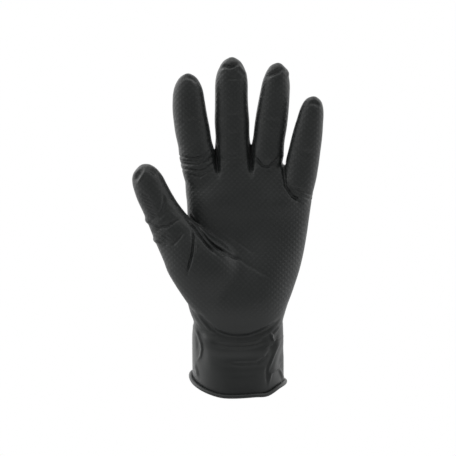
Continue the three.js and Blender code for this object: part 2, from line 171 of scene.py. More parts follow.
# Pads and hollows of the palm side.
PALM_PADS = (
    dict(across=-0.06, up=0.24, wide=0.3, tall=0.22, rise=0.05),
    dict(across=0.28, up=0.34, wide=0.22, tall=0.3, rise=0.08),
    dict(across=0.08, up=0.62, wide=0.22, tall=0.2, rise=-0.07),
    dict(across=-0.2, up=0.86, wide=0.14, tall=0.1, rise=0.05),
    dict(across=0.36, up=0.84, wide=0.14, tall=0.1, rise=0.06),
)

# The rim's rise round the cuff, as a share of the cuff's length.
RIM_HEIGHT = table(
    "angle rise",
    (0, 0.02),
    (45, 0),
    (90, -0.02),
    (135, 0.05),
    (160, 0.13),
    (180, 0.11),
    (205, 0.03),
    (236, -0.072),
    (255, -0.112),
    (290, -0.098),
    (306, -0.098),
    (330, -0.005),
    (360, 0.02),
)

# Slack folds round the cuff and pleats up it, like the frame's.
CUFF_FOLDS = (
    dict(up=1, sag=0.2, reach=0.15, facing=268, spread=90, depth=0.05),
    dict(up=0.7, sag=0.05, reach=0.14, facing=270, spread=62, depth=0.045),
    dict(up=0.44, sag=0.06, reach=0.12, facing=280, spread=50, depth=0.025),
    dict(up=0.78, sag=0.1, reach=0.2, facing=90, spread=95, depth=0.04),
    dict(up=0.5, sag=-0.12, reach=0.18, facing=70, spread=70, depth=0.035),
    dict(up=0.3, sag=0.15, reach=0.18, facing=125, spread=60, depth=0.03),
)
CUFF_PLEATS = (
    dict(angle=12, spread=18, twist=-18, low=0.1, high=0.95, depth=0.035),
    dict(angle=338, spread=18, twist=22, low=0.05, high=0.7, depth=0.03),
    dict(angle=40, spread=20, twist=12, low=0.05, high=0.8, depth=0.035),
    dict(angle=152, spread=18, twist=14, low=0.15, high=0.95, depth=0.035),
    dict(angle=218, spread=16, twist=-12, low=0.2, high=0.95, depth=0.012),
    dict(angle=130, spread=20, twist=-14, low=0.05, high=0.75, depth=0.035),
)

# Creases across the palm side of the sleeves, like the frame's.
CREASES = (
    dict(sleeve="index", along=0.2, reach=0.14, depth=0.035),
    dict(sleeve="index", along=0.29, reach=0.14, depth=0.05),
    dict(sleeve="index", along=0.62, reach=0.14, depth=0.025),
    dict(sleeve="middle", along=0.26, reach=0.14, depth=0.03),
    dict(sleeve="middle", along=0.58, reach=0.14, depth=0.025),
    dict(sleeve="ring", along=0.24, reach=0.16, depth=0.05),
    dict(sleeve="ring", along=0.57, reach=0.14, depth=0.025),
    dict(sleeve="little", along=0.16, reach=0.16, depth=0.04),
    dict(sleeve="little", along=0.52, reach=0.14, depth=0.025),
    dict(sleeve="thumb", along=0.62, reach=0.16, depth=0.045),
    dict(sleeve="thumb", along=0.69, reach=0.16, depth=0.04),
)

# Fine folds of the palm side. Each row is a line as seen from the camera, in the plane of the hand:
# its half-width, its depth, where a ridge has a negative one, and its points (across, up).
FINE_FOLDS = (
    # The crease round the ball of the thumb, its companion and the ridge between them.
    (1.1, 1, ((-19, 100), (-10.6, 95), (-4.1, 91.1), (4, 87.5))),
    (1.2, 0.4, ((-6, 92), (2, 88.4), (8, 85), (16, 80.6), (23, 76.6))),
    (0.9, 0.7, ((-20, 100), (-16.3, 97), (-10, 91.8), (-6, 89.6))),
    (0.9, -0.5, ((-31, 115), (-25.2, 106), (-18.4, 97.6), (-12.3, 92), (-6, 89))),
    (1.3, 0.45, ((-9.5, 108), (-1.5, 102), (6.7, 96))),
    (1.3, 0.45, ((1.8, 100.3), (7.5, 96), (13.4, 91))),
    (1.3, 0.5, ((1.8, 87.5), (12, 81.5), (23.7, 75.2))),
    # Folds that run down the ball of the thumb from its web.
    (0.9, -0.4, ((-30, 106), (-29.6, 97), (-31, 88), (-33, 82))),
    (1.2, 0.5, ((-28, 100), (-28.3, 92))),
    (1.4, 1.1, ((-37.5, 108.5), (-41.5, 103.5), (-46.5, 97.5))),
    # Creases at the root of the index finger, which rise to the web.
    (1, 1.1, ((-44, 162.4), (-37, 160.4), (-31.4, 159.8), (-24.5, 161.3), (-18, 166.5))),
    (0.9, 0.7, ((-43, 159), (-36, 158), (-29, 158), (-23, 160))),
    (1, 1.1, ((-43, 157), (-36, 156), (-29.3, 155.6), (-22.2, 158.1), (-15, 163))),
    (1, 1, ((-42, 152.6), (-35, 152), (-29.3, 151.1), (-22.9, 152.2), (-14.5, 158.6))),
    (0.9, 0.8, ((-36, 149), (-31, 147.7), (-26.5, 146.8), (-18, 151.5))),
    # Creases of the middle finger.
    (1.2, 0.35, ((-11.5, 163.6), (-4, 162.4), (3, 163.6))),
    (1.2, 0.25, ((-12, 178.3), (-4, 177.4), (4, 178.3))),
    # The hanging crease at the root of the ring finger.
    (1.3, 1.3, ((12, 162), (14.8, 157.4), (18, 154.4), (22.4, 154.2), (26, 156.8), (30, 161.6))),
    (1.2, -0.4, ((15, 157), (17.2, 153.2), (20.4, 151.6), (23.4, 151.8), (26, 153.6))),
    # The fold under the little finger and the creases beside it.
    (1.5, 1.8, ((32.6, 160), (32.8, 150), (34.2, 140.5), (38.8, 133.4), (45.5, 128))),
    (1.1, 0.6, ((35.7, 141), (44, 137.6), (54.5, 132.6))),
    (1.1, 0.6, ((36.5, 137.6), (44.5, 134), (54, 129.8))),
    (1.1, 0.5, ((38.2, 133.8), (45, 130.6), (50.5, 127.8))),
    # Creases of the thumb.
    (1.2, 0.9, ((-63, 116), (-55, 111), (-49.6, 112), (-43.6, 115.8), (-39, 118.4))),
    (0.9, 0.8, ((-61, 111), (-55, 108.6), (-47.5, 105.4))),
    (0.9, 0.8, ((-59.5, 108), (-54, 105.6), (-47.5, 102.6))),
    (0.9, 0.7, ((-58, 105), (-53, 102.6), (-48, 100))),
    (0.9, 0.6, ((-56.5, 101.6), (-52, 99.8), (-48, 97.6))),
    (1.5, 1, ((-52.4, 135), (-51.8, 129), (-53.4, 124), (-56.4, 120))),
    (1.8, -1.1, ((-68.5, 119), (-65, 116.6), (-61, 114))),
    (1.6, -0.9, ((-61.5, 104.4), (-58, 102), (-54, 99.6))),
    # Slack film at the finger tips.
    (1.7, 1, ((-38.5, 216), (-35.7, 217.4), (-31.5, 216.4), (-27.6, 212.4))),
    (1.6, 1.6, ((-12, 223.5), (-8.5, 225.2), (-4, 224.8), (1, 227))),
    (1.2, -0.7, ((-12, 221), (-9.5, 222.8), (-4.7, 222), (0, 224.5), (2, 227.5))),
    (1.2, -0.6, ((0, 226.5), (3.4, 222.6), (6.4, 218.6))),
    (2, 0.8, ((-7.5, 217), (-2, 216.4), (3, 217.5))),
    (2, 1.7, ((20.5, 217.2), (24, 219.3), (29, 221.5), (33.5, 225))),
    (1.2, -0.7, ((35.6, 225), (35.8, 221), (35.2, 217))),
    (1.9, 1.2, ((50.5, 198.4), (54.3, 199.4), (58.2, 196.6))),
    (1.9, 1.6, ((-72.8, 143.5), (-70.4, 148.6), (-66.6, 152))),
    (1, -0.6, ((-71, 141.5), (-67.6, 147), (-64.6, 152.5))),
    (1.9, 1.2, ((-62.8, 152.6), (-59.6, 150.8), (-56.6, 147.6))),
    # Slack of the cuff under the heel of the hand.
    (2.6, 1.2, ((-30, 52), (-24, 45), (-15, 36.8), (-7, 33.8), (1, 32.8), (9, 33.8), (17, 37),
                (28, 43.5), (32, 47))),
    (1.8, 0.8, ((-34, 50), (-30, 43), (-26, 37), (-22, 32))),
    (1.2, -0.8, ((-30, 52), (-25.5, 45.2), (-20, 39), (-12, 34))),
    (1.2, -0.7, ((32, 48), (28, 42), (22, 36.8), (13, 32))),
    (2.3, 1.2, ((-20, 30.5), (-12, 28.2), (-4, 27.3), (5, 27.3), (13, 28.4), (22, 32))),
    (0.9, -0.8, ((31.5, 43.5), (26.2, 36.7), (23, 33))),
    (0.9, -0.8, ((32.5, 34.5), (25.7, 31), (18, 24.8))),
    (1.2, 0.7, ((21, 14), (20.5, 8), (20.8, 1))),
    (1.1, 0.8, ((-4, 15.4), (6, 15.2), (14, 15.6), (20, 20), (26, 30))),
    (1.1, -0.8, ((-31, 42), (-27.6, 34.5), (-25.8, 29.7), (-25.2, 25.4), (-26, 20.5), (-28.4, 17))),
    (1.3, 0.4, ((-29.5, 36), (-28, 29), (-28, 23))),
    (1.2, -0.9, ((-30.7, 17), (-29, 11), (-27.5, 5))),
    (1.2, -0.9, ((23.2, 37), (24.6, 33.5), (25.8, 30))),
    (1.2, -1.1, ((31, 33.5), (27, 24.5), (23.6, 16), (21.6, 10.5))),
    (1.2, -1, ((31.2, 18), (27.9, 12), (23.4, 8), (22, 0))),
    (1.2, -0.8, ((29, 12.5), (31, 8), (32.6, 3))),
    (1.4, 0.9, ((29, 37), (25.4, 27.5), (21.8, 20))),
)

# Folds of the back, seen straight on (across, up), made like those of the palm side.
BACK_FOLDS = (
    # Knuckles, and the hollows between them that run down from the webs.
    (8, -1.3, ((-27, 142), (-24, 133))),
    (8, -1.5, ((-3.5, 146), (-2.5, 136))),
    (7.5, -1.3, ((18.5, 142), (17, 132))),
    (7, -1.2, ((38, 131), (35.5, 122))),
    (3, 1, ((-14.5, 166), (-14, 150), (-12, 134))),
    (3, 1, ((9.4, 166), (8, 150), (7, 134))),
    (3, 1, ((30, 156), (27.5, 142), (24, 126))),
    # Cords of the hand under the film.
    (3.5, -0.5, ((-2, 134), (-2, 110), (-1, 84))),
    (3.5, -0.5, ((15, 130), (12, 108), (8, 84))),
    (3.5, -0.4, ((-22, 131), (-16, 110), (-10, 86))),
    (3, -0.4, ((33, 120), (26, 100), (17, 80))),
    # Tension lines of the film.
    (1.3, 0.35, ((-31, 118), (-20, 122), (-8, 123))),
    (1.3, 0.35, ((-32, 108), (-20, 113), (-6, 115))),
    (1.3, 0.35, ((40, 112), (30, 108), (18, 107))),
    (1.4, 0.4, ((-30, 66), (-18, 74), (-4, 78))),
    (1.4, 0.4, ((34, 74), (22, 70), (10, 71))),
    # The thumb's joint.
    (1, 0.7, ((-63, 120), (-55, 117), (-48, 117))),
    (1, 0.7, ((-62, 116.5), (-54, 113.5), (-47, 113.5))),
    (1, 0.6, ((-60, 113), (-53, 110), (-46, 110))),
    (1, 0.5, ((-68, 138), (-61, 135), (-55, 136))),
    # Slack of the cuff.
    (3, 1.4, ((-30, 45), (-16, 38), (2, 36), (18, 39), (32, 47))),
    (1.6, -0.8, ((-28, 40), (-14, 33), (2, 31), (17, 34), (30, 41))),
    (2.4, 1, ((-26, 22), (-10, 25), (6, 22), (20, 24))),
    (1.3, -0.8, ((-24, 34), (-17, 22), (-14, 9))),
    (1.3, -0.8, ((25, 36), (17, 24), (20, 10))),
    (1.4, 0.8, ((6, 31), (12, 19), (10, 7))),
)

# The wrinkles over the finger joints of the back: places along the finger and how many, how far
# apart, how wide as a share of the finger, and how much each is arched more than the next, in mm.
JOINT_WRINKLES = dict(reach=1, depth=0.6, joints=((0.52, 4), (0.77, 2)), apart=0.033, wide=0.36,
                      arch=0.8)

# Sharp creases that are pressed straight back, seen and made like the fine folds.
SLOTS = (
    # The crease round the ball of the thumb, the one beside it and the one that runs down from both.
    (1.3, 2.6, ((-34, 122), (-28.9, 113.8), (-24.4, 107), (-21.1, 102.4), (-16.3, 98.2), (-7, 93))),
    (1.2, 2.2, ((-36, 117.5), (-30.4, 110.6), (-26.5, 105), (-22.7, 100), (-15, 92))),
    (1.2, 2.1, ((-32.4, 112), (-31.1, 103.3), (-31.9, 93.2), (-34.1, 85), (-35.6, 78))),
    # The two soft slots under the webs of the middle finger.
    (2.3, 5.5, ((-16, 174), (-15, 161), (-13.6, 147))),
    (2.3, 5.5, ((9.4, 176), (9.6, 162), (9.5, 148))),
)

# The ribs across the thumb's pad: the first one's half-width, depth and ends, how many there are,
# and the step from one to the next at either end.
THUMB_RIBS = dict(reach=0.8, depth=0.55, start=(-69, 135.6), end=(-61.5, 132.4), count=7,
                  start_step=(1.1, -2.55), end_step=(0.9, -2.6))

# How a fold fades: its foot as a share of its half-width, the part of its length over which its ends
# fade and the most that this may be, and what is left of it at its very ends.
FOLD_FOOT = 1.25
END_FADE = 0.35
LONGEST_FADE = 7
END_LEFT = 0.15
NOTCH_POWER = 1.3

# Folds deeper than these are pressed into the inside too, on the palm side and on the back.
DEEP_FOLD = 0.35
DEEP_BACK_FOLD = 0.9

# The grip lattice, in metres: the pitch of the diamonds across, the step from row to row, where the
# hand's texture starts above the smooth cuff, and the heights of the diamonds and of the grain.
GRIP_PITCH = 0.0039
GRIP_ROW = 0.0019
HAND_START = 0.05
GRIP_HEIGHT = 0.0001
GRAIN_HEIGHT = 0.00001
GRAIN_SCALE = 2200
PATCH_SCALE = 55

# Places of the palm side whose seams are evened out: middle and half-sizes, across and up.
BLENDED = (
    (-8, 76, 27, 30),
    (2, 52, 30, 12),
    (-24, 147, 12, 10),
    (-2, 147, 12, 10),
    (20, 147, 12, 10),
)

# Finish and light.
DARK_FILM = (0.0068, 0.0086, 0.0082)
# The lighter colour is a painted highlight on the raised diamonds of the grip, and dust in random
# patches.
DOT_HIGHLIGHT_AND_DUST_FILM = (0.0112, 0.0132, 0.0128)
HAND_ROUGHNESS = 0.48
CUFF_ROUGHNESS = 0.44
FRONT_LIGHT = 0.35
BACK_LIGHT = 1.25
LEFT_LIGHT = 2.1
RIGHT_LIGHT = 1.6
LOW_LIGHT = 0.75
HIGH_LIGHT = 1.35
SHEEN = 0.06
SHEEN_ROUGHNESS = 0.4

# The floor, in metres, and its grey.
FLOOR_RADIUS = 3
FLOOR_HEIGHT = -0.9
FLOOR_GREY = 0.5
FLOOR_ROUGHNESS = 0.9

# Smoothing: rounds for the whole form and for the palm's seams at a voxel of 1 mm, and how much it
# takes off the film's outside, put back after it.
SMOOTH_ROUNDS = 3.5
PALM_ROUNDS = 60
SMOOTHED_OFF = 0.35

SLEEVE_POWER = 2.1
RIM_CUT = 2 * BEAD_DIAMETER
LEAST_HALF = 0.2 * WALL

# Mesh fineness.
OUTER_VOXEL = 0.65
OUTER_TRIANGLES = 138000
HOLLOW_VOXEL = 1.7
FOLD_SPARE = 1.6
TRUNK_SIDES = 220
SLEEVE_SIDES = 96
RING_STEP = 0.8
BEAD_SIDES = 20
BEAD_STEPS = 240


def column(rows, place, key, at):
    """One column of a table at places in it, on a smooth curve through its rows."""
    x, y = rows[place], rows[key]
    i = np.clip(np.searchsorted(x, at, side="right"), 1, len(x) - 1)
    before, after = np.maximum(i - 2, 0), np.minimum(i + 1, len(x) - 1)
    span = x[i] - x[i - 1]
    slope_a = (y[i] - y[before]) / (x[i] - x[before])
    slope_b = (y[after] - y[i - 1]) / (x[after] - x[i - 1])
    t = np.clip((at - x[i - 1]) / span, 0, 1)
    eased = y[i - 1] + (y[i] - y[i - 1]) * t * t * (3 - 2 * t)
    return eased + span * t * (1 - t) * (slope_a * (1 - t) - slope_b * t)


def bell(x):
    """A bell that is 1 at 0 and fades out to 0 at 1 and -1."""
    return np.where(np.abs(x) < 1, (1 + np.cos(np.pi * np.clip(x, -1, 1))) / 2, 0)


def notch(x):
    """A sharp notch that is 1 at 0 and 0 at 1 and -1."""
    return np.clip(1 - np.abs(x), 0, 1) ** NOTCH_POWER


def turn(start, end):
    """The turn from one angle to another, in degrees from -180 to 180."""
    return (end - start + 180) % 360 - 180


def outline(angle, power):
    """A point of a rounded outline, made squarer by power."""
    c, s = np.cos(np.radians(angle)), np.sin(np.radians(angle))
    return np.sign(c) * np.abs(c) ** (2 / power), np.sign(s) * np.abs(s) ** (2 / power)


def ease(low, high, x):
    """A smooth step from 0 at one value to 1 at another."""
    t = np.clip((x - low) / (high - low), 0, 1)
    return t * t * (3 - 2 * t)


def camera_axes():
    """The camera's right, up and forward directions."""
    tilt = math.radians(CAMERA_ELEVATION)
    return np.array([
        (1, 0, 0),
        (0, math.sin(tilt), math.cos(tilt)),
        (0, math.cos(tilt), -math.sin(tilt)),
    ])


def trunk_table():
    """The cuff's and the palm's tables as one, in millimetres."""
    parts = []
    for shape, width, depth, base, length in (
        (CUFF_SHAPE, CUFF_WIDTH, CUFF_DEPTH, 0, CUFF_LENGTH),
        (PALM_SHAPE, PALM_WIDTH, PALM_DEPTH, CUFF_LENGTH, PALM_LENGTH),
    ):
        parts.append(dict(
            z=base + shape["up"] * length,
            left=shape["left"] * width,
            right=shape["right"] * width,
            front=shape["front"] * depth,
            back=shape["back"] * depth,
            power=shape["power"],
        ))
    return {key: np.concatenate([part[key] for part in parts]) for key in parts[0]}


TRUNK = trunk_table()


def cuff_relief(z, angle):
    """How far the cuff's folds and pleats move the film out."""
    up = z / CUFF_LENGTH
    out = np.zeros_like(up)
    for fold in CUFF_FOLDS:
        swing = turn(fold["facing"], angle) / fold["spread"]
        valley = fold["up"] + fold["sag"] * (np.minimum(swing * swing, 1) - 1)
        out -= fold["depth"] * bell((up - valley) / fold["reach"]) * bell(swing)
    for pleat in CUFF_PLEATS:
        share = (2 * up - pleat["low"] - pleat["high"]) / (pleat["high"] - pleat["low"])
        swing = turn(pleat["angle"] + pleat["twist"] * share / 2, angle) / pleat["spread"]
        out -= pleat["depth"] * bell(share) * bell(swing)
    return out * CUFF_DEPTH


def palm_relief(x, z):
    """How far the palm's pads and hollows move the film out."""
    out = np.zeros_like(x)
    for pad in PALM_PADS:
        across = (x / PALM_WIDTH - pad["across"]) / pad["wide"]
        up = ((z - CUFF_LENGTH) / PALM_LENGTH - pad["up"]) / pad["tall"]
        out += pad["rise"] * np.exp(-across * across - up * up)
    return out * PALM_DEPTH


def trunk_points(z, angle, inset):
    """Points of the cuff and palm at heights and angles, set in from their outline."""
    z, angle = np.broadcast_arrays(z, angle)
    left, right, front, back, power = (
        column(TRUNK, "z", key, z) for key in ("left", "right", "front", "back", "power")
    )
    across, deep = outline(angle, power)
    out = cuff_relief(z, angle) - inset
    half_width = np.maximum((right + left) / 2 + out, LEAST_HALF)
    half_depth = np.maximum((back + front) / 2 + out, LEAST_HALF)
    x = (right - left) / 2 + across * half_width
    y = (back - front) / 2 + deep * half_depth
    y = y - np.maximum(-deep, 0) * palm_relief(x, z)
    rim = column(RIM_HEIGHT, "angle", "rise", angle % 360) * np.maximum(CUFF_LENGTH - z, 0)
    return np.stack([x, y, z + rim], axis=-1)


def trunk_rings(inset):
    """The rings of the cuff, the palm and the webs."""
    top = PALM_SHAPE["up"][-1] * PALM_LENGTH + CUFF_LENGTH
    knuckles = CUFF_LENGTH + PALM_LENGTH
    angle = 360 * np.arange(TRUNK_SIDES) / TRUNK_SIDES
    z = np.arange(0, top, RING_STEP)
    z = np.append(z, top)[:, None]
    rings = trunk_points(z, angle, inset)
    if inset > 0:
        share = np.clip((z - knuckles) / (top - knuckles), 0, 1)
        rings[..., 2] -= inset * share
        first = rings[:1] - np.array([0, 0, RIM_CUT])
        rings = np.concatenate([first, rings])
    return rings


def crease_depth(name, share, length, width):
    """How deep the creases cut into the palm side of a sleeve."""
    depth = np.zeros_like(share)
    for crease in CREASES:
        if crease["sleeve"] == name:
            reach = crease["reach"] * width / length
            depth += crease["depth"] * width * bell((share - crease["along"]) / reach)
    return depth


def sleeve_rings(middle, across, deep, half_width, half_depth, crease, inset):
    """Rings round the points of a middle line."""
    u, v = outline(360 * np.arange(SLEEVE_SIDES) / SLEEVE_SIDES, SLEEVE_POWER)
    wide = np.maximum(half_width - inset, LEAST_HALF)[:, None, None]
    thick = half_depth[:, None] - inset - crease[:, None] * np.maximum(-v, 0)
    thick = np.maximum(thick, LEAST_HALF)[..., None]
    return (middle[:, None] + across[:, None] * wide * u[:, None]
            + deep[:, None] * thick * v[:, None])


def finger_rings(name, inset):
    """A finger's rings, which follow the curve of its middle line."""
    row = FINGERS[name]
    length = row["length"] * FINGER_LENGTH
    width = row["width"] * FINGER_WIDTH
    lean = math.radians(row["lean"])
    side = np.array([math.cos(lean), 0, -math.sin(lean)])
    up = np.array([math.sin(lean), 0, math.cos(lean)])
    root = np.array([row["across"] * PALM_WIDTH, 0, CUFF_LENGTH + row["up"] * PALM_LENGTH])
    share = np.sin(np.pi / 2 * np.linspace(0, 1, int(length / RING_STEP)))

    def middle(at):
        bow = column(FINGER_LINE, "along", "bow", at) * row["bow"] * length
        bend = column(FINGER_LINE, "along", "bend", at) * (row["curl"] - row["forward"])
        front = (bend + row["forward"]) * length
        return (root + up * (at * length)[:, None] + side * bow[:, None]
                - np.array([0, 1, 0]) * front[:, None])

    step = 0.01
    along = middle(np.minimum(share + step, 1)) - middle(np.maximum(share - step, 0))
    along /= np.linalg.norm(along, axis=1)[:, None]
    across = np.stack([along[:, 2], np.zeros(len(share)), -along[:, 0]], axis=1)
    across /= np.linalg.norm(across, axis=1)[:, None]
    deep = np.cross(along, across)
    half_width = width / 2 * column(FINGER_SHAPE, "along", name, share)
    half_depth = row["depth"] * FINGER_DEPTH / 2 * column(FINGER_SHAPE, "along", "depth", share)
    crease = crease_depth(name, share, length, width)
    centre = middle(share * (1 - inset / length))
    return sleeve_rings(centre, across, deep, half_width, half_depth, crease, inset)


def thumb_rings(inset):
    """The thumb's rings, which are square to its straight line."""
    lean = math.radians(THUMB_ROOT["lean"])
    side = np.array([math.cos(lean), 0, -math.sin(lean)])
    up = np.array([math.sin(lean), 0, math.cos(lean)])
    deep = np.array([0.0, 1, 0])
    root = np.array([THUMB_ROOT["across"] * PALM_WIDTH, 0,
                     CUFF_LENGTH + THUMB_ROOT["up"] * PALM_LENGTH])
    share = np.sin(np.pi / 2 * np.linspace(0, 1, int(THUMB_LENGTH / RING_STEP)))
    aside, width, front, depth = (
        column(THUMB_SHAPE, "along", key, share) for key in ("aside", "width", "front", "depth")
    )
    middle = (root + up * (share * (THUMB_LENGTH - inset))[:, None]
              + side * (aside * THUMB_WIDTH)[:, None] - deep * (front * THUMB_DEPTH)[:, None])
    crease = crease_depth("thumb", share, THUMB_LENGTH, THUMB_WIDTH)
    ones = np.ones((len(share), 1))
    return sleeve_rings(middle, side * ones, deep * ones, width * THUMB_WIDTH / 2,
                        depth * THUMB_DEPTH / 2, crease, inset)


def loft(rings, loop=False):
    """The corners and faces of a closed body through its rings."""
    count, sides = rings.shape[:2]
    points = rings.reshape(-1, 3)
    this = np.arange(sides)
    after = np.roll(this, -1)
    faces = []
    for i in range(count if loop else count - 1):
        low, high = i * sides, (i + 1) % count * sides
        quads = np.stack([low + this, low + after, high + after, high + this], axis=1)
        faces.extend(quads.tolist())
    if not loop:
        faces.append(this[::-1].tolist())
        faces.append((this + (count - 1) * sides).tolist())
    return points, faces


def mesh_object(name, bodies):
    """One object from closed bodies."""
    points, faces, start = [], [], 0
    for corners, polygons in bodies:
        points.append(corners)
        faces.extend([[i + start for i in polygon] for polygon in polygons])
        start += len(corners)
    mesh = bpy.data.meshes.new(name)
    mesh.from_pydata(np.concatenate(points).tolist(), [], faces)
    made = bpy.data.objects.new(name, mesh)
    bpy.context.scene.collection.objects.link(made)
    return made


def apply_modifier(made, kind, **settings):
    """Adds one modifier to an object, sets it and makes its result the object's mesh."""
    modifier = made.modifiers.new(kind.lower(), kind)
    for key, value in settings.items():
        setattr(modifier, key, value)
    bpy.context.view_layer.update()
    result = bpy.data.meshes.new_from_object(
        made.evaluated_get(bpy.context.evaluated_depsgraph_get()))
    made.modifiers.clear()
    old = made.data
    made.data = result
    bpy.data.meshes.remove(old)


def corners_of(mesh):
    """A mesh's corners as an array."""
    flat = np.zeros(len(mesh.vertices) * 3)
    mesh.vertices.foreach_get("co", flat)
    return flat.reshape(-1, 3)


def normals_of(mesh):
    """A mesh's corner normals as an array."""
    flat = np.zeros(len(mesh.vertices) * 3)
    mesh.vertices.foreach_get("normal", flat)
    return flat.reshape(-1, 3)


def set_corners(mesh, points):
    """Moves a mesh's corners."""
    mesh.vertices.foreach_set("co", points.ravel())
    mesh.update()


def smooth(mesh, rounds, weight=1.0):
    """Evens out a mesh, more where weight is higher."""
    edges = np.zeros(len(mesh.edges) * 2, int)
    mesh.edges.foreach_get("vertices", edges)
    a, b = edges.reshape(-1, 2).T
    points = corners_of(mesh)
    count = np.maximum(np.bincount(a, minlength=len(points)) + np.bincount(b, minlength=len(points)), 1)
    share = (0.5 * weight * np.ones(len(points)))[:, None]
    for _ in range(rounds):
        total = np.stack([
            np.bincount(a, points[b, k], len(points)) + np.bincount(b, points[a, k], len(points))
            for k in range(3)
        ], axis=1)
        points = points + share * (total / count[:, None] - points)
    set_corners(mesh, points)


def blend_palm(mesh, rounds):
    """Evens out the seams between the palm, the ball of the thumb and the roots of the sleeves."""
    points = corners_of(mesh)
    facing = ease(0.1, 0.5, -normals_of(mesh) @ camera_axes()[2])
    weight = np.zeros(len(points))
    for across, up, wide, tall in BLENDED:
        distance = np.hypot((points[:, 0] - across) / wide, (points[:, 2] - up) / tall)
        weight = np.maximum(weight, 1 - ease(0.55, 1, distance))
    smooth(mesh, rounds, weight * facing)


def form(name, inset, voxel):
    """The hand's form as one evened closed surface."""
    bodies = [loft(trunk_rings(inset)), loft(thumb_rings(inset))]
    bodies += [loft(finger_rings(finger, inset)) for finger in FINGERS]
    made = mesh_object(name, bodies)
    apply_modifier(made, "REMESH", mode="VOXEL", voxel_size=voxel, adaptivity=0)
    smooth(made.data, int(round(SMOOTH_ROUNDS / voxel)))
    blend_palm(made.data, int(round(PALM_ROUNDS / voxel ** 2)))
    if inset == 0:
        set_corners(made.data, corners_of(made.data) + SMOOTHED_OFF * normals_of(made.data))
    return made


def seen_from_camera(points):
    """Where the camera sees points, in the plane of the hand: across and up."""
    right, up, forward = camera_axes()
    offset = points - (np.array(CAMERA_TARGET) - forward * CAMERA_DISTANCE)
    depth = offset @ forward / CAMERA_DISTANCE
    return CAMERA_TARGET[0] + offset @ right / depth, CAMERA_TARGET[2] + offset @ up / depth


def thumb_ribs():
    """The rows of the thumb's ribs, made like those of the fine folds."""
    rows = []
    for i in range(THUMB_RIBS["count"]):
        start = np.add(THUMB_RIBS["start"], np.multiply(i, THUMB_RIBS["start_step"]))
        end = np.add(THUMB_RIBS["end"], np.multiply(i, THUMB_RIBS["end_step"]))
        rows.append((THUMB_RIBS["reach"], THUMB_RIBS["depth"], (start, end)))
    return tuple(rows)


def joint_wrinkles():
    """The rows of the wrinkles over the joints of the fingers' backs."""
    rows = []
    for row in FINGERS.values():
        lean = math.radians(row["lean"])
        side = np.array([math.cos(lean), -math.sin(lean)])
        up = np.array([math.sin(lean), math.cos(lean)])
        root = np.array([row["across"] * PALM_WIDTH, CUFF_LENGTH + row["up"] * PALM_LENGTH])
        half = side * row["width"] * FINGER_WIDTH * JOINT_WRINKLES["wide"]
        for joint, count in JOINT_WRINKLES["joints"]:
            for i in range(count):
                along = joint + (i - (count - 1) / 2) * JOINT_WRINKLES["apart"]
                bow = column(FINGER_LINE, "along", "bow", along) * row["bow"]
                middle = root + (up * along + side * bow) * row["length"] * FINGER_LENGTH
                arch = up * (i - (count - 1) / 2) * JOINT_WRINKLES["arch"]
                rows.append((JOINT_WRINKLES["reach"], JOINT_WRINKLES["depth"],
                             (middle - half - arch, middle, middle + half - arch)))
    return tuple(rows)


def line_pull(x, z, reach, path, shape=bell):
    """How strongly a line pulls on points: 1 on it, 0 past its half-width, less at its ends."""
    path = np.array(path, float)
    steps = np.diff(path, axis=0)
    lengths = np.linalg.norm(steps, axis=1)
    starts = np.concatenate([[0], np.cumsum(lengths)[:-1]])
    total = lengths.sum()
    fade = min(END_FADE * total, LONGEST_FADE)
    best = np.zeros(len(x))
    near = ((x > path[:, 0].min() - reach) & (x < path[:, 0].max() + reach)
            & (z > path[:, 1].min() - reach) & (z < path[:, 1].max() + reach))
    px, pz = x[near], z[near]
    nearest = np.full(len(px), 1e9)
    along = np.zeros(len(px))
    for (ax, az), (sx, sz), length, start in zip(path, steps, lengths, starts):
        t = np.clip(((px - ax) * sx + (pz - az) * sz) / length ** 2, 0, 1)
        distance = np.hypot(px - ax - t * sx, pz - az - t * sz)
        closer = distance < nearest
        nearest = np.where(closer, distance, nearest)
        along = np.where(closer, start + t * length, along)
    ends = ease(0, fade, along) * ease(0, fade, total - along)
    best[near] = shape(nearest / reach) * (END_LEFT + (1 - END_LEFT) * ends)
    return best


def fold_film(mesh, spare=0):
    """Presses the fine folds into the film. Inside, the deep ones are wider by some to spare."""
    points = corners_of(mesh)
    normals = normals_of(mesh)
    facing = -normals @ camera_axes()[2]
    front = ease(-0.4, 0.1, facing)
    x, z = seen_from_camera(points)
    out = np.zeros(len(points))
    for reach, depth, path in FINE_FOLDS + thumb_ribs():
        if depth > DEEP_FOLD or spare == 0:
            out -= depth * line_pull(x, z, FOLD_FOOT * reach + spare, path) * front
    behind = ease(0, 0.5, normals[:, 1])
    for reach, depth, path in BACK_FOLDS + joint_wrinkles():
        if abs(depth) > DEEP_BACK_FOLD or spare == 0:
            pull = line_pull(points[:, 0], points[:, 2], FOLD_FOOT * reach + spare, path)
            out -= depth * pull * behind
    back = np.zeros(len(points))
    seen = ease(-0.1, 0.3, facing)
    shape = bell if spare else notch
    for reach, depth, path in SLOTS:
        back += depth * line_pull(x, z, FOLD_FOOT * reach + spare, path, shape) * seen
    set_corners(mesh, points + normals * out[:, None] + np.outer(back, camera_axes()[2]))


def rim_line(out):
    """Points along the rim, out from the film."""
    angle = 360 * np.arange(BEAD_STEPS) / BEAD_STEPS
    return trunk_points(np.zeros(1), angle, -out) + np.array([0, 0, BEAD_UP])


